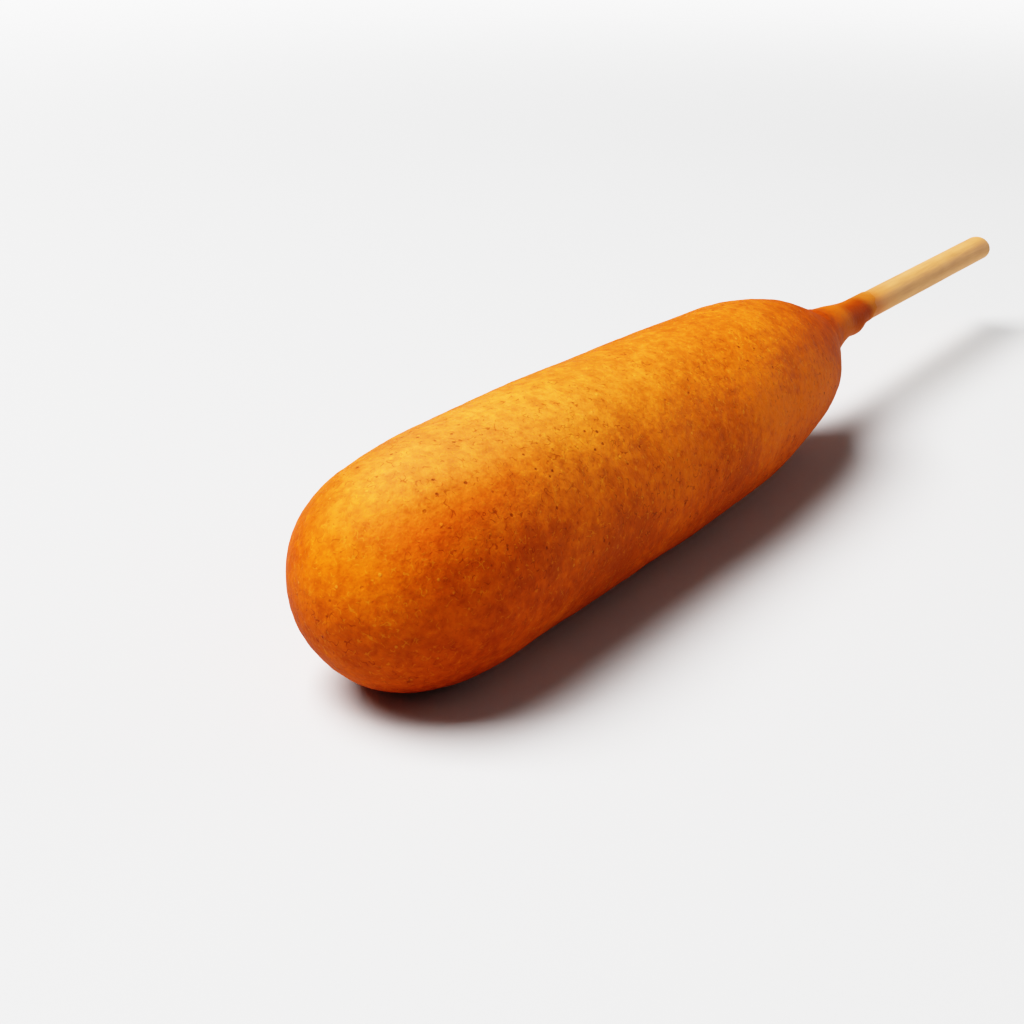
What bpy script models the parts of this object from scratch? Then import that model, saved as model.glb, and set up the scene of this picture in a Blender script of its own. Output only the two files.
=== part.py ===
"""A battered sausage on a stick, lying on its side: one crust of fried cornmeal batter and one round wooden stick.

The sausage lies along X, with its round nose at -X and the stick at +X. Z is up, the crust rests on the plane
z = 0 with a small flat spot, and the origin is under the middle of the whole length. Lengths are metres.
"""

import math

import bmesh
import bpy

# Driving dimensions
BODY_LENGTH = 0.1205
BODY_RADIUS = 0.0150
NOSE_LENGTH = 0.0266
REST_WIDTH = 0.0088
STICK_DIAMETER = 0.00476
STICK_LENGTH = 0.1397
STICK_OUT = 0.0779
STICK_RISE = 0.0023
STICK_DROOP = math.radians(0.5)
STICK_END_SLANT = math.radians(18)

# Fullness of the outline: how late the nose and the shoulder round off
NOSE_FULLNESS = 3.5
SHOULDER_FULLNESS = 4.1
SHOULDER_ROUNDNESS = 3.0

# Collar of batter that runs out along the stick, with distances from the end of the body
COLLAR_START = -0.0070
COLLAR_END = 0.0180
RISE_END = 0.0090
FLARE_END = 0.0140
FLARE_RADIUS = 0.0090
COLLAR_WALL = 0.00035
COLLAR_BLEND = 0.0012
RIM_SLANT = 0.0016

# The side, as an angle round the body from +Y towards +Z, on which the collar and the stick's end are cut shorter
SHORT_SIDE = math.radians(54)

# Soft waves of the batter: height, waves along the body, waves around it, phase
WAVES = (
    (0.00020, 1.8, 1, 3.0),
    (0.00008, 1.8, 2, 2.0),
    (0.00006, 5.0, 3, 4.4),
)
WAVE_FADE = 0.0280

# Fit and fineness
GAP = 0.0003
STICK_END_ROUND = 0.0016
STICK_END_STEPS = 4
AROUND_BODY = 56
ALONG_BODY = 44
ALONG_COLLAR = 14
AROUND_STICK = 32
MERGE = 1e-6

# Worked out from the sizes above
REST_HEIGHT = math.sqrt(BODY_RADIUS**2 - (REST_WIDTH / 2) ** 2)
NOSE_X = -(BODY_LENGTH + STICK_OUT) / 2
SHOULDER_X = NOSE_X + BODY_LENGTH
STICK_RADIUS = STICK_DIAMETER / 2
SOCKET_RADIUS = STICK_RADIUS + GAP
RIM_RADIUS = SOCKET_RADIUS + COLLAR_WALL


def smooth_step(share):
    share = min(max(share, 0.0), 1.0)
    return share * share * (3 - 2 * share)


def smooth_larger(a, b, blend):
    """The larger of two radii, with the corner where they meet rounded over."""
    near = max(blend - abs(a - b), 0.0) / blend
    return max(a, b) + near * near * blend / 4


def sausage_radius(along):
    """Radius at a distance from the nose: a domed nose, a full middle that thins slightly, and a blunt shoulder."""
    if along < NOSE_LENGTH:
        share = 1 - along / NOSE_LENGTH
        return BODY_RADIUS * math.sqrt(1 - share**NOSE_FULLNESS)
    share = min((along - NOSE_LENGTH) / (BODY_LENGTH - NOSE_LENGTH), 1.0)
    return BODY_RADIUS * (1 - share**SHOULDER_FULLNESS) ** (1 / SHOULDER_ROUNDNESS)


def collar_radius(past_body):
    """Radius of the collar, which flares in towards the stick and then follows it as a thin sleeve."""
    share = (past_body - COLLAR_START) / (FLARE_END - COLLAR_START)
    return RIM_RADIUS + (FLARE_RADIUS - RIM_RADIUS) * max(1 - share, 0.0) ** 2


def crust_radius(along):
    past_body = along - BODY_LENGTH
    if past_body < COLLAR_START:
        return sausage_radius(along)
    return smooth_larger(sausage_radius(along), collar_radius(past_body), COLLAR_BLEND)


def stick_height(past_body):
    """Height of the stick's middle line above the body's, at a distance past the end of the body."""
    return STICK_RISE - math.tan(STICK_DROOP) * past_body


def rise(along):
    """How far the middle of the crust's section has moved from the body's middle line to the stick's."""
    past_body = along - BODY_LENGTH
    share = (past_body - COLLAR_START) / (RISE_END - COLLAR_START)
    return stick_height(max(past_body, 0.0)) * smooth_step(share)


def wave_height(along, around):
    """Height of the batter's soft waves, which fade out at the nose's tip and at the collar."""
    waves = sum(
        height * math.sin(math.tau * rows * along / BODY_LENGTH + columns * around + phase)
        for height, rows, columns, phase in WAVES
    )
    return waves * smooth_step(along / WAVE_FADE) * smooth_step((BODY_LENGTH - along) / WAVE_FADE)


def crust_outline():
    """Points (distance from the nose, radius) from the nose to the rim, closest where the form curves most."""
    collar_from = BODY_LENGTH + COLLAR_START
    body = [collar_from * (1 - math.cos(math.pi * i / ALONG_BODY)) / 2 for i in range(ALONG_BODY)]
    step = (COLLAR_END - COLLAR_START) / ALONG_COLLAR
    collar = [collar_from + step * i for i in range(ALONG_COLLAR + 1)]
    return [(along, crust_radius(along)) for along in body + collar]


def shape_crust(vert):
    """Moves one point of the turned form to where the uneven, hand-dipped form has it."""
    along, y, z = vert.co
    radius = math.hypot(y, z)
    if radius > 0:
        around = math.atan2(z, y)
        scale = 1 + wave_height(along, around) / radius
        past_body = max(along - BODY_LENGTH, 0.0)
        shorter = RIM_SLANT * math.cos(around - SHORT_SIDE) * past_body / COLLAR_END
        vert.co = (along - shorter, y * scale, z * scale)
    vert.co.z += rise(along)


def turn(bm, outline, steps):
    """Spins an outline of (distance along, radius) pairs once round the X axis."""
    verts = [bm.verts.new((along, 0.0, radius)) for along, radius in outline]
    edges = [bm.edges.new(pair) for pair in zip(verts, verts[1:])]
    bmesh.ops.spin(
        bm,
        geom=verts + edges,
        cent=(0.0, 0.0, 0.0),
        axis=(1.0, 0.0, 0.0),
        angle=math.tau,
        steps=steps,
        use_merge=True,
    )
    bmesh.ops.remove_doubles(bm, verts=bm.verts, dist=MERGE)


def flatten_underside(bm):
    """Cuts the crust level where it rests and closes the cut with one flat face."""
    everything = bm.verts[:] + bm.edges[:] + bm.faces[:]
    cut = bmesh.ops.bisect_plane(
        bm,
        geom=everything,
        plane_co=(0.0, 0.0, -REST_HEIGHT),
        plane_no=(0.0, 0.0, -1.0),
        clear_outer=True,
    )
    edges = [item for item in cut["geom_cut"] if isinstance(item, bmesh.types.BMEdge)]
    bmesh.ops.contextual_create(bm, geom=edges)


def new_object(name, bm, parent):
    bmesh.ops.recalc_face_normals(bm, faces=bm.faces)
    mesh = bpy.data.meshes.new(name)
    bm.to_mesh(mesh)
    bm.free()
    mesh.shade_smooth()
    obj = bpy.data.objects.new(name, mesh)
    obj.parent = parent
    bpy.context.scene.collection.objects.link(obj)
    return obj


def new_material(name, colour, roughness):
    material = bpy.data.materials.new(name)
    material.use_nodes = True
    shader = material.node_tree.nodes["Principled BSDF"]
    shader.inputs["Base Color"].default_value = (*colour, 1.0)
    shader.inputs["Roughness"].default_value = roughness
    shader.inputs["Metallic"].default_value = 0.0
    return material


def make_crust(parent):
    """The whole crust with its collar, as one solid."""
    bm = bmesh.new()
    turn(bm, crust_outline() + [(BODY_LENGTH + COLLAR_END, 0.0)], AROUND_BODY)
    for vert in bm.verts:
        shape_crust(vert)
    flatten_underside(bm)
    crust = new_object("batter_crust", bm, parent)
    crust.location = (NOSE_X, 0.0, REST_HEIGHT)
    crust.data.materials.append(new_material("fried_batter", (0.55, 0.17, 0.015), 0.55))
    return crust


def place_on_stick_line(obj, past_body):
    """Sets an object, made along its own Z, on the stick's line at a distance past the end of the body."""
    obj.location = (SHOULDER_X + past_body, 0.0, REST_HEIGHT + stick_height(past_body))
    obj.rotation_euler = (0.0, math.pi / 2 + STICK_DROOP, 0.0)


def rod(bm, radius, length):
    """A round rod from its own origin down to minus its length along Z."""
    made = bmesh.ops.create_cone(
        bm, cap_ends=True, segments=AROUND_STICK, radius1=radius, radius2=radius, depth=length
    )
    bmesh.ops.translate(bm, verts=made["verts"], vec=(0.0, 0.0, -length / 2))


def slant_end(verts):
    """Tilts the stick's outer end, so that it is shorter on one side."""
    for vert in verts:
        towards = vert.co.y * math.cos(SHORT_SIDE) - vert.co.x * math.sin(SHORT_SIDE)
        vert.co.z -= math.tan(STICK_END_SLANT) * (STICK_RADIUS + towards)


def make_stick(parent):
    bm = bmesh.new()
    rod(bm, STICK_RADIUS, STICK_LENGTH)
    end_verts = {vert for vert in bm.verts if vert.co.z > -MERGE}
    end_edges = [edge for edge in bm.edges if end_verts.issuperset(edge.verts)]
    slant_end(end_verts)
    bmesh.ops.bevel(
        bm, geom=end_edges, offset=STICK_END_ROUND, segments=STICK_END_STEPS, profile=0.5, affect="EDGES"
    )
    stick = new_object("wooden_stick", bm, parent)
    place_on_stick_line(stick, STICK_OUT)
    stick.data.set_sharp_from_angle(angle=math.radians(40))
    stick.data.materials.append(new_material("pale_wood", (0.62, 0.36, 0.16), 0.60))
    return stick


def cut_socket(crust, parent):
    """The blind hole that the stick sits in, open at the collar's rim."""
    depth = STICK_LENGTH - STICK_OUT + GAP
    past_rim = COLLAR_END + 2 * RIM_SLANT
    bm = bmesh.new()
    rod(bm, SOCKET_RADIUS, depth + past_rim)
    cutter = new_object("socket_cutter", bm, parent)
    place_on_stick_line(cutter, past_rim)
    cutter.hide_render = True
    cutter.display_type = "WIRE"
    cut = crust.modifiers.new("socket", "BOOLEAN")
    cut.object = cutter
    cut.operation = "DIFFERENCE"


def main():
    for old in list(bpy.data.objects):
        bpy.data.objects.remove(old)
    origin = bpy.data.objects.new("battered_sausage_on_a_stick", None)
    bpy.context.scene.collection.objects.link(origin)
    crust = make_crust(origin)
    make_stick(origin)
    cut_socket(crust, origin)


main()
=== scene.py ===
"""The looks of a battered sausage on a stick: its fried crust of cornmeal batter and its round wooden stick.

The sausage lies along X, with its nose at -X and the stick at +X, and rests on z = 0. Lengths are metres.
"""

import math

import bmesh
import bpy
import numpy as np
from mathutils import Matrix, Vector, noise


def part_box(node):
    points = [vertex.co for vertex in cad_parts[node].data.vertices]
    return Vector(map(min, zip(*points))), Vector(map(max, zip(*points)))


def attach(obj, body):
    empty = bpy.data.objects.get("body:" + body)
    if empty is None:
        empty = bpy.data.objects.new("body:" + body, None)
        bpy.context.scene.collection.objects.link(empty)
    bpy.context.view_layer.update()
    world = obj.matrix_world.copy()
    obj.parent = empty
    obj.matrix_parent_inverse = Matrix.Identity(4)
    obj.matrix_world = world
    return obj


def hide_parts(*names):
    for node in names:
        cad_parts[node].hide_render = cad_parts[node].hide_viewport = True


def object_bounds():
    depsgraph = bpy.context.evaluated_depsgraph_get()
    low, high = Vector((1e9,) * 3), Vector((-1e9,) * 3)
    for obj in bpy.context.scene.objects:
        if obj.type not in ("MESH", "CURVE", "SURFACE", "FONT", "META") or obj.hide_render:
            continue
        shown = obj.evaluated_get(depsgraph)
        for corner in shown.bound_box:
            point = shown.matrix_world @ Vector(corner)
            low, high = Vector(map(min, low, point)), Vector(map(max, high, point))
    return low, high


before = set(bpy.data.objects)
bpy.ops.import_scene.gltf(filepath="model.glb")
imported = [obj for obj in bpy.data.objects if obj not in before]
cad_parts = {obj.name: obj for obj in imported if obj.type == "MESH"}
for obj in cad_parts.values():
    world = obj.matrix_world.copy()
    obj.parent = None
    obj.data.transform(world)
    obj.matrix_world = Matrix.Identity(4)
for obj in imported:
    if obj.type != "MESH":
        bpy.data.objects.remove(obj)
cad_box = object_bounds()
crust_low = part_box("batter_crust")[0]

# Sizes of the body and the stick, close to the solids' own: the shoulder is slightly slimmer here
BODY_LENGTH = 0.1205
BODY_RADIUS = 0.0150
NOSE_LENGTH = 0.0266
REST_WIDTH = 0.0088
REST_BLEND = 0.0005
REST_HEIGHT = math.sqrt(BODY_RADIUS**2 - (REST_WIDTH / 2) ** 2)
NOSE_FULLNESS = 3.5
SHOULDER_FULLNESS = 4.1
SHOULDER_ROUNDNESS = 2.8
NOSE_X = crust_low[0]
SHOULDER_X = NOSE_X + BODY_LENGTH
STICK_RADIUS = 0.00476 / 2
STICK_OUT = 0.0779
STICK_LENGTH = 0.1397
STICK_RISE = 0.0023
STICK_DROOP = math.radians(0.5)
STICK_END_SLANT = math.radians(18)
STICK_END_ROUND = 0.0016
SHORT_SIDE = math.radians(54)
WAVES = ((0.00020, 1.8, 1, 3.0), (0.00008, 1.8, 2, 2.0), (0.00006, 5.0, 3, 4.4))
WAVE_FADE = 0.0280
RISE_START = -0.0070
RISE_END = 0.0090

# Collar of batter on the stick, which thins to a film with a ragged edge: distances are from the body's end
COLLAR_START = -0.0070
COLLAR_JOINED = -0.0020
COLLAR_RADIUS = 0.0072
COLLAR_TAPER = 1.6
COLLAR_BLEND = 0.0035
COLLAR_THINS = 0.0188
COLLAR_THINS_SLANT = 0.0022
FILM = 0.00002
FILM_GAP = 0.00001
FILM_EDGE = 0.0222
FILM_EDGE_SLANT = 0.0012
FILM_EDGE_RAGGED = 0.0006
EDGE_LIP = 0.998
NECK_FILL = 0.0007
NECK_PLACE = 0.0005
NECK_LENGTH = 0.0022
NECK_SIDE = math.radians(115)
DRIP_HEIGHT = 0.00064
DRIP_PLACE = 0.0154
DRIP_LENGTH = 0.0024
SOCKET_DEPTH = STICK_LENGTH - STICK_OUT + 0.0003

# Relief of the fried surface: (height, size) of each kind
SWELLS = (0.00016, 0.0105)
LUMPS = (0.00007, 0.0038)
GRIT = (0.00005, 0.0011)
POCK_DEPTH = 0.00010
POCK_SPACING = 0.0048
POCK_RADIUS = 0.0007
COLLAR_SMOOTHED = 0.9
COLLAR_SMOOTH_FROM = 0.012

# Lengthwise grain of the stick: (depth, how often it changes round the stick, length) of each kind
BROAD_GRAIN = (0.00003, 1.7, 0.030)
FINE_GRAIN = (0.00003, 9.0, 0.012)

# How the picture shows light: the light that shows as white, and (light, shown) on the way there
WHITE_LIGHT = 2.0
TONE_CURVE = (
    (0.02, 0.006),
    (0.05, 0.028),
    (0.10, 0.078),
    (0.20, 0.192),
    (0.35, 0.356),
    (0.50, 0.500),
    (0.70, 0.654),
    (1.00, 0.810),
    (1.30, 0.900),
    (1.60, 0.950),
)

# Paler and browner patches: distance from the nose, degrees round the body, reach, how much paler
# Partly the crust's uneven tone and partly painted light and shade: the paler patches at 164 to 172 degrees
# are painted light, the browner ones at 170 degrees by the nose and at 192 and 196 degrees painted shade
TONE_AND_LIGHT_PATCHES = (
    (0.0025, 130, 0.0060, 0.05),
    (0.0045, 80, 0.0120, 0.05),
    (0.0165, 137, 0.0055, 0.14),
    (0.0180, 118, 0.0050, 0.08),
    (0.0230, 131, 0.0040, 0.08),
    (0.0330, 157, 0.0060, 0.09),
    (0.0400, 106, 0.0130, 0.07),
    (0.0440, 164, 0.0110, 0.07),
    (0.0545, 171, 0.0130, 0.12),
    (0.0790, 172, 0.0130, 0.17),
    (0.0900, 118, 0.0070, 0.10),
    (0.0900, 165, 0.0080, 0.08),
    (0.1000, 169, 0.0130, 0.19),
    (0.0200, 170, 0.0080, -0.13),
    (0.0245, 155, 0.0050, -0.06),
    (0.0320, 138, 0.0050, -0.08),
    (0.0420, 192, 0.0160, -0.14),
    (0.0470, 142, 0.0065, -0.11),
    (0.0710, 196, 0.0120, -0.12),
    (0.0900, 136, 0.0090, -0.09),
    (0.0990, 144, 0.0070, -0.09),
)

# The crust's colours, from its lower side to its upper one, and how brown it gets: the upper gold is partly
# the crust's own tone, partly a painted highlight
LOWER_AMBER = (0.865, 0.188, 0.007)
UPPER_GOLD_AND_HIGHLIGHT = (1.0, 0.375, 0.052)
BROWN_TONES = [(0.0, (0.62, 0.50, 0.42)), (0.5, (0.80, 0.70, 0.62)), (1.0, (1.0, 1.0, 1.0))]

# Colours that the crust is tinted with: a painted highlight on the nose's top, pale grain, dashes and grits,
# and the collar's amber
# A painted highlight on the top of the nose, pale peach
PAINTED_NOSE_HIGHLIGHT = (0.98, 0.340, 0.110)
PALE_GRAIN = (0.96, 0.340, 0.020)
PALE_DASH = (0.98, 0.38, 0.035)
PALE_GRIT = (1.0, 0.42, 0.05)
COLLAR_AMBER = (0.63, 0.158, 0.013)

# Colours that the crust is multiplied by: dark grain, dashes and specks; painted shade below (partly also
# browning), on the far edge, low on the nose and under the collar; a darker shoulder; the seared drip
DARK_GRAIN = (0.70, 0.60, 0.45)
DARK_DASH = (0.50, 0.42, 0.30)
DARK_SPECK = (0.32, 0.27, 0.20)
UNDERSIDE_SHADE_AND_BROWNING = (0.52, 0.34, 0.34)
PAINTED_FAR_EDGE_SHADE = (0.80, 0.68, 0.62)
PAINTED_NOSE_SHADE = (0.84, 0.58, 0.50)
DARKER_SHOULDER = (0.62, 0.46, 0.50)
PAINTED_COLLAR_UNDERSIDE_SHADE = (0.86, 0.74, 0.50)
SEARED = (0.64, 0.42, 0.30)

# Bare wood, from its dark fibres to its pale ones
WOOD_TONES = [(0.30, (0.57, 0.247, 0.073)), (0.50, (0.72, 0.355, 0.118)), (0.70, (0.84, 0.443, 0.170))]

# Wood stained by the oil, at the batter and a little way past it, and the painted shade that its upper side
# is multiplied by
STAINED = (0.60, 0.175, 0.022)
SOAKED = (0.72, 0.285, 0.066)
PAINTED_UPPER_SHADE = (0.82, 0.80, 0.95)

# The stage
WORLD_LIGHT = 0.10
FLOOR_GREY = (0.64, 0.64, 0.64)
FLOOR_FADES = 0.25
FLOOR_ENDS = 0.80
BACKDROP_RADIUS = 3.0
BACKDROP_LIGHT = 1.62

# The camera, which looks a little to the left of the object's middle and below it
CAMERA_TURN = math.radians(-55.0)
CAMERA_HEIGHT = math.radians(22.8)
CAMERA_DISTANCE = 0.2646
CAMERA_ASIDE = 0.0362
CAMERA_BELOW = 0.0203
CAMERA_LENS = 60.0

# Faces that meet at more than this angle keep a sharp edge
SHARP_EDGE = math.radians(55)

# Fineness of the meshes
CRUST_AROUND = 256
CRUST_ROWS = 330
COLLAR_ROWS = 36
SOCKET_ROWS = 6
STICK_AROUND = 96
STICK_ROWS = 150
HIDDEN_ROWS = 8
END_ROWS = 12


def smooth_step(share):
    share = np.clip(share, 0.0, 1.0)
    return share * share * (3 - 2 * share)


def smooth_larger(a, b, blend):
    """The larger of two values, with the corner where they meet rounded over."""
    near = np.maximum(blend - np.abs(a - b), 0.0) / blend
    return np.maximum(a, b) + near * near * blend / 4


def sausage_radius(along):
    nose_share = np.clip(1 - along / NOSE_LENGTH, 0.0, 1.0)
    rest_share = np.clip((along - NOSE_LENGTH) / (BODY_LENGTH - NOSE_LENGTH), 0.0, 1.0)
    nose = np.sqrt(1 - nose_share**NOSE_FULLNESS)
    rest = (1 - rest_share**SHOULDER_FULLNESS) ** (1 / SHOULDER_ROUNDNESS)
    return BODY_RADIUS * nose * rest


def collar_radius(past_body, around):
    """Radius of the collar about the stick: flared at the body, thinned to a film, with one drip below."""
    short = np.cos(around - SHORT_SIDE)
    thins = COLLAR_THINS - COLLAR_THINS_SLANT * short - COLLAR_START
    share = np.clip((past_body - COLLAR_START) / thins, 0.0, 1.0)
    film = STICK_RADIUS + FILM
    drip_share = (past_body - DRIP_PLACE) / DRIP_LENGTH
    drip = DRIP_HEIGHT * np.exp(-drip_share * drip_share) * np.clip(-short, 0.0, 1.0) ** 1.5
    fill_share = (past_body - NECK_PLACE) / NECK_LENGTH
    fill = NECK_FILL * np.exp(-fill_share * fill_share) * np.clip(np.cos(around - NECK_SIDE), 0.0, 1.0)
    return film + (COLLAR_RADIUS - film) * (1 - share) ** COLLAR_TAPER + drip + fill


def crust_radius(along, around):
    past_body = along - BODY_LENGTH
    body = sausage_radius(along)
    with_collar = smooth_larger(body, collar_radius(past_body, around), COLLAR_BLEND)
    joined = smooth_step((past_body - COLLAR_START) / (COLLAR_JOINED - COLLAR_START))
    return body + (with_collar - body) * joined


def stick_height(past_body):
    """Height of the stick's middle line above the body's, at a distance past the end of the body."""
    return STICK_RISE - math.tan(STICK_DROOP) * past_body


def rise(along):
    """How far the middle of the crust's section has moved from the body's middle line to the stick's."""
    past_body = along - BODY_LENGTH
    share = (past_body - RISE_START) / (RISE_END - RISE_START)
    return stick_height(np.maximum(past_body, 0.0)) * smooth_step(share)


def wave_height(along, around):
    waves = sum(
        height * np.sin(math.tau * rows * along / BODY_LENGTH + columns * around + phase)
        for height, rows, columns, phase in WAVES
    )
    return waves * smooth_step(along / WAVE_FADE) * smooth_step((BODY_LENGTH - along) / WAVE_FADE)


def film_edge(around):
    """Distance past the body's end at which the film of batter stops, all round the stick."""
    ragged = [noise.fractal(Vector((math.cos(a), math.sin(a), 0.4)) * 1.9, 1.2, 2.0, 2) for a in around]
    return FILM_EDGE + FILM_EDGE_SLANT * np.cos(around - SHORT_SIDE) + FILM_EDGE_RAGGED * np.array(ragged)


def even_rows(end, count):
    """Distances from the nose, from 0 to an end, that are evenly spaced along the crust's outline."""
    fine = end * (1 - np.cos(np.linspace(0, math.pi, 4000))) / 2
    radius = crust_radius(fine, np.full(fine.shape, SHORT_SIDE))
    walked = np.concatenate([[0.0], np.cumsum(np.hypot(np.diff(fine), np.diff(radius)))])
    return np.interp(np.linspace(0, walked[-1], count), walked, fine)


def relief(point):
    """Height of the fried batter's own relief at a point: swells, lumps, grit and a few pocks."""
    swell = SWELLS[0] * noise.noise(point / SWELLS[1])
    lump = LUMPS[0] * noise.noise(point / LUMPS[1])
    grit = GRIT[0] * noise.noise(point / GRIT[1])
    distances, cells = noise.voronoi(point / POCK_SPACING)
    pock = 0.0
    if noise.noise(cells[0] * 7.3) > 0.05:
        share = distances[0] * POCK_SPACING / POCK_RADIUS
        pock = -POCK_DEPTH * math.exp(-share * share)
    return swell + lump + grit + pock


def grid_normals(points):
    """Outward normals of a grid of points, with rows along the piece and columns round it."""
    along = np.gradient(points, axis=0)
    around = (np.roll(points, -1, axis=1) - np.roll(points, 1, axis=1)) / 2
    normals = np.cross(around, along)
    return normals / np.maximum(np.linalg.norm(normals, axis=2, keepdims=True), 1e-12)


def new_piece(name, points, rows_in_map, stands_for):
    """Makes a closed piece from rings of points, with a fan at each end, and a map that unrolls it.

    The first and the last ring are one point each, repeated round the ring."""
    rows, columns, _ = points.shape
    verts = [tuple(points[0].mean(axis=0))]
    verts += [tuple(point) for ring in points[1:-1] for point in ring]
    verts += [tuple(points[-1].mean(axis=0))]

    def index(row, column):
        if row == 0:
            return 0
        if row == rows - 1:
            return len(verts) - 1
        return 1 + (row - 1) * columns + column % columns

    faces, corners = [], []
    for row in range(rows - 1):
        for column in range(columns):
            ring = [(row, column), (row, column + 1), (row + 1, column + 1), (row + 1, column)]
            if row == 0:
                ring = ring[1:]
            if row == rows - 2:
                ring = [corner for corner in ring if corner != (rows - 1, column + 1)]
            faces.append([index(*corner) for corner in ring])
            corners += [(corner[1] / columns, rows_in_map[corner[0]]) for corner in ring]
    mesh = bpy.data.meshes.new(name)
    mesh.from_pydata(verts, [], faces)
    unrolled = mesh.uv_layers.new(name="OFBake")
    unrolled.uv.foreach_set("vector", np.array(corners, np.float32).ravel())
    mesh.shade_smooth()
    mesh.set_sharp_from_angle(angle=SHARP_EDGE)
    mesh.validate()
    piece = bpy.data.objects.new(name, mesh)
    bpy.context.scene.collection.objects.link(piece)
    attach(piece, "root")
    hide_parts(stands_for)
    return piece


def crust_grid():
    """Rings of the crust's outer surface, from the nose to the ragged edge of the film on the stick."""
    around = np.linspace(0, math.tau, CRUST_AROUND, endpoint=False)
    collar_from = BODY_LENGTH + COLLAR_START
    body = even_rows(collar_from, CRUST_ROWS)[:-1]
    steps = np.append(np.linspace(0, 1, COLLAR_ROWS) * EDGE_LIP, 1.0)
    edge = BODY_LENGTH + film_edge(around)
    along = np.concatenate(
        [
            np.repeat(body[:, None], CRUST_AROUND, axis=1),
            collar_from + steps[:, None] * (edge[None, :] - collar_from),
        ]
    )
    angle = np.repeat(around[None, :], len(along), axis=0)
    radius = crust_radius(along, angle) + wave_height(along, angle)
    radius[0] = 0.0
    radius[-1] = STICK_RADIUS + FILM_GAP * 2
    height = radius * np.sin(angle) + rise(along)
    return np.stack([NOSE_X + along, radius * np.cos(angle), REST_HEIGHT + height], axis=2)


def roughen(points):
    """Adds the relief along the normals, and none at the nose's tip or at the film's edge."""
    normals = grid_normals(points)
    flat = [relief(Vector(point)) for point in points.reshape(-1, 3)]
    height = np.array(flat).reshape(points.shape[:2])
    past_body = points[..., 0] - SHOULDER_X
    height = height * (1 - COLLAR_SMOOTHED * smooth_step(past_body / COLLAR_SMOOTH_FROM))
    height[0] = height[0].mean()
    normals[0] = (-1.0, 0.0, 0.0)
    height[-1] = 0.0
    return points + normals * height[..., None]


def rest_flat(points):
    """Presses the underside level where it rests."""
    points[..., 2] = smooth_larger(points[..., 2], 0.0, REST_BLEND)
    return points


def socket_grid(edge_ring):
    """Rings of the socket's wall, from the film's edge to the socket's end, closed by its middle point."""
    around = np.linspace(0, math.tau, CRUST_AROUND, endpoint=False)
    rings = []
    for share in np.linspace(0, 1, SOCKET_ROWS):
        x = edge_ring[:, 0] + share * (SHOULDER_X - SOCKET_DEPTH - edge_ring[:, 0])
        radius = STICK_RADIUS + FILM_GAP
        middle = REST_HEIGHT + stick_height(x - SHOULDER_X)
        rings.append(np.stack([x, radius * np.cos(around), middle + radius * np.sin(around)], axis=1))
    rings.append(np.repeat(rings[-1].mean(axis=0)[None, :], CRUST_AROUND, axis=0))
    return np.array(rings)


def map_rows(points, visible_rows, visible_share):
    """Where each ring lies in the unrolled map: visible rings by true distance, hidden ones squeezed in."""
    middle = points.mean(axis=1)
    radius = np.linalg.norm(points - middle[:, None, :], axis=2).mean(axis=1)
    steps = np.hypot(np.diff(middle[:, 0]), np.diff(radius))
    walked = np.concatenate([[0.0], np.cumsum(steps)])
    end = walked[visible_rows - 1]
    seen = visible_share * walked / end
    hidden = visible_share + (1 - visible_share) * (walked - end) / (walked[-1] - end)
    return np.where(np.arange(len(walked)) < visible_rows, seen, hidden)


def make_crust(material):
    outside = rest_flat(roughen(crust_grid()))
    points = np.concatenate([outside, socket_grid(outside[-1])])
    crust = new_piece(
        "fried_batter_crust", points, map_rows(points, len(outside), 0.94), "batter_crust"
    )
    crust.data.materials.append(material)
    return crust


def stick_outline():
    """Rows of the stick as (distance from its outer end, share of the radius, share of the end's slant)."""
    inner = [(STICK_LENGTH, 0.0, 0.0), (STICK_LENGTH, 1.0, 0.0)]
    seen_from = STICK_OUT - COLLAR_THINS
    inner += [(x, 1.0, 0.0) for x in np.linspace(STICK_LENGTH, seen_from, HIDDEN_ROWS)[1:-1]]
    slant_from = 3 * STICK_RADIUS
    along_shaft = np.linspace(seen_from, STICK_END_ROUND, STICK_ROWS)
    shaft = [(x, 1.0, 1 - min((x - STICK_END_ROUND) / slant_from, 1.0)) for x in along_shaft]
    edge = STICK_END_ROUND / STICK_RADIUS
    turns = np.linspace(0, math.pi / 2, END_ROWS)[1:]
    rounded = [(STICK_END_ROUND * (1 - math.sin(t)), 1 - edge * (1 - math.cos(t)), 1.0) for t in turns]
    return inner + shaft + rounded + [(0.0, 0.4 * (1 - edge), 1.0), (0.0, 0.0, 1.0)]


def grain_height(from_end, around):
    """Depth of the lengthwise grain in the stick's surface, which only ever goes inwards."""
    height = 0.0
    for depth, changes, length in (BROAD_GRAIN, FINE_GRAIN):
        place = Vector((math.cos(around) * changes, math.sin(around) * changes, from_end / length))
        height -= depth * abs(noise.noise(place))
    return height


def make_stick(material):
    around = np.linspace(0, math.tau, STICK_AROUND, endpoint=False)
    rings = []
    for from_end, width, slanted in stick_outline():
        grain = np.array([grain_height(from_end, a) for a in around])
        radius = width * (STICK_RADIUS + grain)
        y, z = radius * np.cos(around), radius * np.sin(around)
        towards = y * math.cos(SHORT_SIDE) + z * math.sin(SHORT_SIDE)
        cut_back = slanted * math.tan(STICK_END_SLANT) * (STICK_RADIUS + towards)
        past_body = STICK_OUT - from_end - cut_back
        rings.append(np.stack([SHOULDER_X + past_body, y, REST_HEIGHT + stick_height(past_body) + z], axis=1))
    points = np.array(rings)[::-1, ::-1]
    stick = new_piece(
        "round_wooden_stick",
        points,
        map_rows(points, END_ROWS + STICK_ROWS, 0.9),
        "wooden_stick",
    )
    stick.data.materials.append(material)
    return stick


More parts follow.
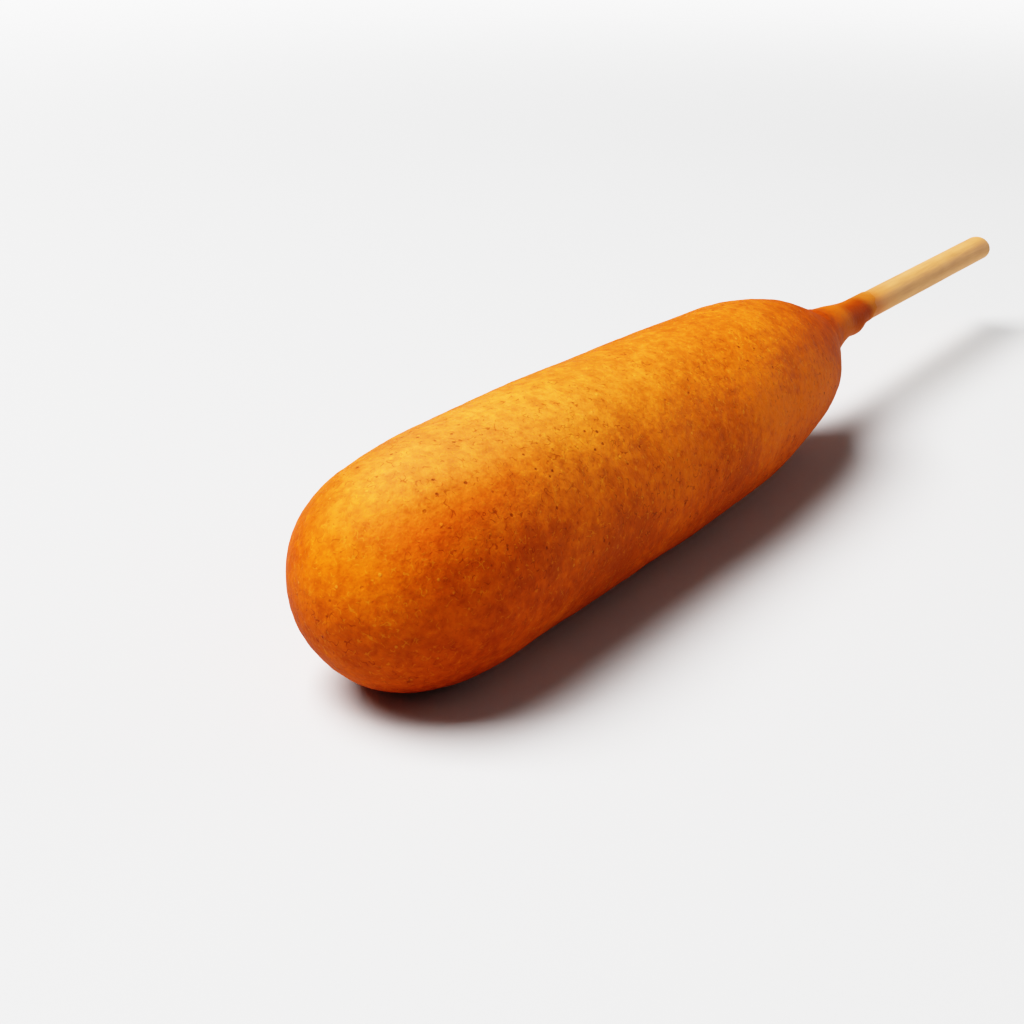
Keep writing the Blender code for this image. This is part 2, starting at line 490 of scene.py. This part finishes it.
class Signal:
    """A value, colour or vector on its way through a material's nodes. Arithmetic on it adds Math nodes."""

    def __init__(self, tree, socket=None):
        self.tree = tree
        self.socket = socket

    def node(self, kind, settings=(), inputs=(), output=0):
        """Adds a node, with its settings first and then its inputs, and gives one of its outputs."""
        made = self.tree.nodes.new("ShaderNode" + kind)
        for name, value in dict(settings).items():
            if name == "stops":
                fill_ramp(made.color_ramp, value)
            else:
                setattr(made, name, value)
        for name, value in dict(inputs).items():
            if isinstance(value, Signal):
                self.tree.links.new(value.socket, made.inputs[name])
            else:
                made.inputs[name].default_value = value
        return Signal(self.tree, made.outputs[output])

    def math(self, operation, *values):
        return self.node("Math", {"operation": operation}, enumerate(values))

    def __add__(self, other):
        return self.math("ADD", self, other)

    def __sub__(self, other):
        return self.math("SUBTRACT", self, other)

    def __rsub__(self, other):
        return self.math("SUBTRACT", other, self)

    def __mul__(self, other):
        return self.math("MULTIPLY", self, other)

    __radd__ = __add__
    __rmul__ = __mul__

    def between(self, low, high):
        """0 below low, 1 above high, and smooth from one to the other."""
        sockets = {"Value": self, "From Min": low, "From Max": high}
        return self.node("MapRange", {"interpolation_type": "SMOOTHSTEP"}, sockets)

    def mixed(self, blend, other, share):
        """This colour blended with another, a signal or three numbers, by a share."""
        colour = other if isinstance(other, Signal) else opaque(other)
        settings = {"data_type": "RGBA", "blend_type": blend}
        return self.node("Mix", settings, {"Factor": share, 6: self, 7: colour}, output=2)

    def tinted(self, other, share):
        """This colour turned towards another by a share."""
        return self.mixed("MIX", other, share)

    def shaded(self, other, share=1.0):
        """This colour multiplied by another, by a share."""
        return self.mixed("MULTIPLY", other, share)


def fill_ramp(ramp, stops):
    """Gives a ramp its stops, each a place and a colour."""
    while len(ramp.elements) < len(stops):
        ramp.elements.new(1.0)
    for element, (place, colour) in zip(ramp.elements, stops):
        element.position = place
        element.color = opaque(colour)


def opaque(colour):
    return (*colour, 1.0)


class Finish:
    """A new material, with its surface shader and the place of each point in metres."""

    def __init__(self, name, **uniform):
        self.material = bpy.data.materials.new(name)
        self.material.use_nodes = True
        self.tree = self.material.node_tree
        self.shader = self.tree.nodes["Principled BSDF"]
        self.start = Signal(self.tree)
        self.place = self.start.node("TexCoord", output="Object")
        for socket, value in uniform.items():
            self.shader.inputs[socket.replace("_", " ")].default_value = value

    def feed(self, socket, signal):
        self.tree.links.new(signal.socket, self.shader.inputs[socket])

    def axes(self):
        """The three coordinates of the place, one signal each."""
        return [self.start.node("SeparateXYZ", (), {"Vector": self.place}, output=i) for i in range(3)]

    def ramp(self, stops, signal):
        return self.start.node("ValToRGB", {"stops": stops}, {"Fac": signal})

    def stretched(self, scale):
        return self.start.node("Mapping", {"vector_type": "POINT"}, {"Vector": self.place, "Scale": scale})

    def clouds(self, size, detail=2.0, roughness=0.5, place=None, offset=0.0):
        """Noise with features of about one size, in metres. The offset gives another pattern of the kind."""
        sockets = {
            "Vector": place or self.place,
            "W": offset,
            "Scale": 1 / size,
            "Detail": detail,
            "Roughness": roughness,
        }
        return self.start.node("TexNoise", {"noise_dimensions": "4D"}, sockets)

    def dots(self, spacing, radius, share, offset=0.0):
        """Soft round dots: about one share of cells of a given spacing holds a dot of up to the radius."""
        sockets = {"Vector": self.place, "W": offset, "Scale": 1 / spacing}
        settings = {"voronoi_dimensions": "4D"}
        distance = self.start.node("TexVoronoi", settings, sockets, output="Distance")
        lot = self.start.node("TexVoronoi", settings, sockets, output="Color")
        chance = self.start.node("SeparateColor", (), {"Color": lot}, output=0)
        chosen = chance.between(1 - share, 1 - share + 0.04)
        return (1 - distance.between(radius * 0.5 / spacing, radius / spacing)) * chosen

    def dashes(self, size, width, share, offset=0.0):
        """Short curved dashes: lines where one noise crosses its middle, kept only in a share of places."""
        crossing = self.clouds(size, detail=0.0, offset=offset) - 0.5
        line = 1 - crossing.math("ABSOLUTE", crossing).between(0.4 * width, width)
        kept = self.clouds(0.9 * size, detail=0.0, offset=offset + 1.0)
        edge = 0.5 + 0.35 * (0.5 - share)
        return line * kept.between(edge, edge + 0.08)

    def nearness(self, point, reach, uneven):
        """1 at a point, fading to 0 at the reach from it, with an uneven outline."""
        ends = {0: self.place, 1: point}
        apart = self.start.node("VectorMath", {"operation": "DISTANCE"}, ends, output="Value")
        return 1 - (apart + uneven).between(0.0, reach)

    def bump(self, height, distance):
        return self.start.node("Bump", (), {"Height": height, "Distance": distance, "Strength": 1.0})


def along_stick(finish):
    """How far a point lies past the film's edge, unevenly, and which side it faces.

    The side is 1 on the side where the stick is shorter, and -1 across from it."""
    x, y, z = finish.axes()
    above = z - REST_HEIGHT - STICK_RISE
    side = (y * math.cos(SHORT_SIDE) + above * math.sin(SHORT_SIDE)) * (1 / STICK_RADIUS)
    past_edge = x - SHOULDER_X - FILM_EDGE + 0.0012 * side + 0.004 * (finish.clouds(0.0050, offset=9.0) - 0.5)
    return past_edge, side


def browning_and_painted_light(finish, patches, mottling, curds):
    """How brown the crust is, from 0, the brownest, to 1: noise, and the patches that have a place, some of
    them painted light and shade.
    """
    browning_and_light = patches * 0.26 + mottling * 0.32 + curds * 0.42
    for along, degrees, reach, paler in TONE_AND_LIGHT_PATCHES:
        radius, angle = float(sausage_radius(along)), math.radians(degrees)
        point = (NOSE_X + along, radius * math.cos(angle), REST_HEIGHT + radius * math.sin(angle))
        browning_and_light = browning_and_light + paler * finish.nearness(point, reach, (mottling - 0.5) * (0.8 * reach))
    return browning_and_light


def add_fine_detail(finish, colour, grain, fine_grain):
    """Streaks, short dashes, pale grits and dark specks. Gives the colour and the height for the bump."""
    x = finish.axes()[0]
    streak = grain * 0.6 + fine_grain * 0.4
    colour = colour.shaded(DARK_GRAIN, 0.35 * (1 - streak.between(0.34, 0.50)))
    colour = colour.tinted(PALE_GRAIN, 0.16 * streak.between(0.52, 0.68))
    speckled = finish.clouds(0.0120, detail=1.0, offset=11.0).between(0.36, 0.60)
    smooth_collar = 1 - x.between(SHOULDER_X - 0.002, SHOULDER_X + 0.005)
    dark_dashes = finish.dashes(0.0009, 0.034, 0.42, offset=12.0) * smooth_collar
    colour = colour.shaded(DARK_DASH, 0.75 * dark_dashes * (0.30 + 0.70 * speckled))
    pale_dashes = finish.dashes(0.0008, 0.040, 0.36, offset=14.0) * smooth_collar
    colour = colour.tinted(PALE_DASH, 0.32 * pale_dashes)
    pale_grits = finish.dots(0.0014, 0.00028, 0.60, offset=2.0) * smooth_collar
    colour = colour.tinted(PALE_GRIT, 0.4 * pale_grits)
    specks = finish.dots(0.0013, 0.00030, 0.62, offset=6.0) * smooth_collar
    colour = colour.shaded(DARK_SPECK, 0.85 * specks * speckled)
    return colour, grain * 0.7 + fine_grain * 0.3 + 0.4 * pale_grits - 0.5 * specks


def shade_and_brown_the_sides(finish, colour):
    """Painted shade below, where it is partly also browning, on the far side's upper part and low on the
    nose; darker towards the shoulder.
    """
    x, y, z = finish.axes()
    # Painted shade below, partly also the crust's browning there, with less of it further round the back
    far_side = y.between(0.0070, 0.0130)
    colour = colour.shaded(UNDERSIDE_SHADE_AND_BROWNING, (0.55 - 0.25 * far_side) * (1 - z.between(0.0090, 0.0210)))
    # Painted shade on the far side's upper part, next to the top edge, with less of it further round the back
    colour = colour.shaded(PAINTED_FAR_EDGE_SHADE, y.between(0.0005, 0.0080) * (1 - 0.55 * far_side))
    # Painted shade low on the near side of the nose
    near_side = z + 0.25 * y - 0.10 * (x - NOSE_X)
    painted_nose_shade = (1 - near_side.between(0.0210, 0.0260)) * (0.45 + 0.55 * near_side.between(0.0165, 0.0210))
    painted_nose_shade = painted_nose_shade * x.between(NOSE_X + 0.001, NOSE_X + 0.007)
    painted_nose_shade = painted_nose_shade * (1 - x.between(NOSE_X + 0.016, NOSE_X + 0.034))
    painted_nose_shade = painted_nose_shade * (1 - 0.7 * y.between(-0.0040, 0.0080))
    colour = colour.shaded(PAINTED_NOSE_SHADE, painted_nose_shade)
    # Darker towards the shoulder, more so on its upper side
    darker_shoulder = x.between(SHOULDER_X - 0.036, SHOULDER_X - 0.004) * (0.35 + 0.65 * z.between(0.0150, 0.0215))
    return colour.shaded(DARKER_SHOULDER, darker_shoulder)


def brown_and_shade_the_collar(finish, colour):
    """The collar is a deeper amber, seared round its drip, and oily where it thins over the wood; painted
    shade darkens its lower side and the thin film's upper side.
    """
    x = finish.axes()[0]
    past_edge, side = along_stick(finish)
    on_collar = x.between(SHOULDER_X + 0.001, SHOULDER_X + 0.009)
    colour = colour.tinted(COLLAR_AMBER, 0.75 * on_collar)
    # Painted shade on the collar's lower side
    colour = colour.shaded(PAINTED_COLLAR_UNDERSIDE_SHADE, on_collar * (1 - side.between(-1.4, 0.3)))
    seared = past_edge.between(-0.0140, -0.0100) * side.between(-1.6, -0.4)
    seared = seared * (1 - 0.6 * side.between(0.4, 1.0))
    colour = colour.shaded(SEARED, seared)
    colour = colour.tinted(STAINED, past_edge.between(-0.0045, -0.0010))
    colour = colour.tinted(SOAKED, past_edge.between(-0.0005, 0.0045))
    # Painted shade on the upper side of the thin film
    return colour.shaded(PAINTED_UPPER_SHADE, side.between(0.2, 1.0) * past_edge.between(-0.0060, -0.0020))


def fried_batter():
    """Fried cornmeal batter: amber with browner and paler patches, fine grain, dark specks and pale grits,
    and painted highlights, light and shade.
    """
    finish = Finish(
        "fried_batter",
        Subsurface_Weight=0.10,
        Subsurface_Radius=(1.0, 0.30, 0.06),
        Subsurface_Scale=0.0010,
        Specular_IOR_Level=0.06,
        Coat_Roughness=0.60,
    )
    x, _, z = finish.axes()
    patches = finish.clouds(0.0110)
    mottling = finish.clouds(0.0030, offset=3.0)
    curds = finish.clouds(0.0013, offset=4.0)
    grain = finish.clouds(0.00055, offset=5.0)
    fine_grain = finish.clouds(0.00030, detail=1.0, offset=8.0)
    tone = finish.ramp(BROWN_TONES, browning_and_painted_light(finish, patches, mottling, curds).between(0.32, 0.68))
    # Paler and more golden on top, most near the nose: partly the crust's own tone, partly a painted
    # highlight
    golden_and_highlight = z.between(0.0190, 0.0285) * (1 - 0.70 * x.between(NOSE_X + 0.036, NOSE_X + 0.085))
    colour = finish.ramp([(0.0, LOWER_AMBER), (1.0, UPPER_GOLD_AND_HIGHLIGHT)], 0.58 * golden_and_highlight).shaded(tone)
    # A painted highlight on the top of the nose
    painted_nose_highlight = z.between(0.0255, 0.0292) * (1 - x.between(NOSE_X + 0.018, NOSE_X + 0.050))
    colour = colour.tinted(PAINTED_NOSE_HIGHLIGHT, 0.16 * painted_nose_highlight)
    colour, height = add_fine_detail(finish, colour, grain, fine_grain)
    colour = shade_and_brown_the_sides(finish, colour)
    colour = brown_and_shade_the_collar(finish, colour)
    finish.feed("Base Color", colour)
    finish.feed("Roughness", 0.50 + 0.24 * curds)
    finish.feed("Coat Weight", 0.20 * z.between(0.0255, 0.0293))
    finish.feed("Normal", finish.bump(height, 0.00014))
    return finish.material


def pale_wood():
    """Smooth pale wood with fine lengthwise grain, stained orange by the oil next to the batter, with painted
    shade on its upper side.
    """
    finish = Finish("pale_wood", Specular_IOR_Level=0.30)
    lengthwise = finish.stretched((0.06, 1.0, 1.0))
    bands = finish.clouds(0.0016, detail=3.0, roughness=0.6, place=lengthwise)
    fibres = finish.clouds(0.00035, detail=2.0, roughness=0.6, place=lengthwise, offset=4.0)
    blotches = finish.clouds(0.0060, detail=2.0, offset=9.0)
    colour = finish.ramp(WOOD_TONES, bands * 0.5 + fibres * 0.3 + blotches * 0.2)
    past_edge, side = along_stick(finish)
    colour = colour.tinted(SOAKED, 0.90 * (1 - past_edge.between(0.0005, 0.0110)))
    colour = colour.tinted(STAINED, 1 - past_edge.between(-0.0005, 0.0045))
    # Painted shade on the wood's upper side
    colour = colour.shaded(PAINTED_UPPER_SHADE, side.between(0.2, 1.0))
    finish.feed("Base Color", colour)
    finish.feed("Roughness", 0.50 + 0.18 * fibres)
    finish.feed("Normal", finish.bump(fibres, 0.00006))
    return finish.material


def add_floor():
    """A plain pale floor that fades into the backdrop."""
    finish = Finish("pale_floor", Base_Color=opaque(FLOOR_GREY), Roughness=0.8, Specular_IOR_Level=0.2)
    from_middle = finish.start.node("VectorMath", {"operation": "LENGTH"}, {0: finish.place}, output="Value")
    finish.feed("Alpha", 1 - from_middle.between(FLOOR_FADES, FLOOR_ENDS))
    mesh = bpy.data.meshes.new("floor")
    side, level = FLOOR_ENDS, cad_box[0][2] - 0.00005
    corners = [(-side, -side, level), (side, -side, level), (side, side, level), (-side, side, level)]
    mesh.from_pydata(corners, [], [(0, 1, 2, 3)])
    floor = bpy.data.objects.new("floor", mesh)
    floor.data.materials.append(finish.material)
    bpy.context.scene.collection.objects.link(floor)


def add_backdrop():
    """A plain pale backdrop all round, which only the camera sees."""
    finish = Finish(
        "pale_backdrop",
        Base_Color=opaque((0.0, 0.0, 0.0)),
        Specular_IOR_Level=0.0,
        Emission_Color=opaque((1.0, 1.0, 1.0)),
        Emission_Strength=BACKDROP_LIGHT,
    )
    mesh = bpy.data.meshes.new("backdrop")
    shell = bmesh.new()
    bmesh.ops.create_icosphere(shell, subdivisions=3, radius=BACKDROP_RADIUS)
    shell.to_mesh(mesh)
    shell.free()
    backdrop = bpy.data.objects.new("backdrop", mesh)
    backdrop.data.materials.append(finish.material)
    for ray in ("diffuse", "glossy", "transmission", "volume_scatter", "shadow"):
        setattr(backdrop, "visible_" + ray, False)
    bpy.context.scene.collection.objects.link(backdrop)


def aim(obj, direction):
    obj.rotation_euler = direction.to_track_quat("-Z", "Y").to_euler()


def add_lamp(name, direction, distance, size, power):
    """A soft square lamp that shines at the middle of the object from a direction."""
    lamp = bpy.data.lights.new(name, "AREA")
    lamp.size = size
    lamp.energy = power
    obj = bpy.data.objects.new(name, lamp)
    direction = Vector(direction).normalized()
    obj.location = middle + direction * distance
    aim(obj, -direction)
    obj.visible_camera = False
    bpy.context.scene.collection.objects.link(obj)


def add_world():
    world = bpy.data.worlds.new("soft_room")
    world.use_nodes = True
    background = world.node_tree.nodes["Background"]
    background.inputs["Color"].default_value = opaque((1.0, 1.0, 1.0))
    background.inputs["Strength"].default_value = WORLD_LIGHT
    bpy.context.scene.world = world


def add_camera():
    """Looks down at the nose, with the whole sausage high and to the right in the picture."""
    level = math.cos(CAMERA_HEIGHT)
    towards_camera = (math.sin(CAMERA_TURN) * level, -math.cos(CAMERA_TURN) * level, math.sin(CAMERA_HEIGHT))
    forward = -Vector(towards_camera)
    right = forward.cross(Vector((0, 0, 1))).normalized()
    up = right.cross(forward)
    camera = bpy.data.cameras.new("camera")
    camera.lens = CAMERA_LENS
    camera.sensor_width = 36.0
    camera.clip_start = 0.01
    obj = bpy.data.objects.new("camera", camera)
    obj.location = middle - forward * CAMERA_DISTANCE - right * CAMERA_ASIDE - up * CAMERA_BELOW
    aim(obj, forward)
    bpy.context.scene.collection.objects.link(obj)
    bpy.context.scene.camera = obj


def set_view():
    """Shows the light as print film does: rich dark tones, and bright ones that level off gently."""
    view = bpy.context.scene.view_settings
    view.view_transform = "Standard"
    view.look = "None"
    view.use_curve_mapping = True
    mapping = view.curve_mapping
    mapping.white_level = (WHITE_LIGHT, WHITE_LIGHT, WHITE_LIGHT)
    points = mapping.curves[3].points
    points[0].location = (0.0, 0.0)
    points[1].location = (1.0, 1.0)
    for light, shown in TONE_CURVE:
        points.new(light / WHITE_LIGHT, shown)
    mapping.update()


middle = (Vector(cad_box[0]) + Vector(cad_box[1])) / 2
add_camera()
set_view()
add_world()
add_lamp("key", (-0.27, 0.37, 0.89), distance=1.6, size=1.1, power=57.0)
add_lamp("fill", (0.92, -0.42, 0.10), distance=1.4, size=0.9, power=6.0)
add_floor()
add_backdrop()
make_crust(fried_batter())
make_stick(pale_wood())
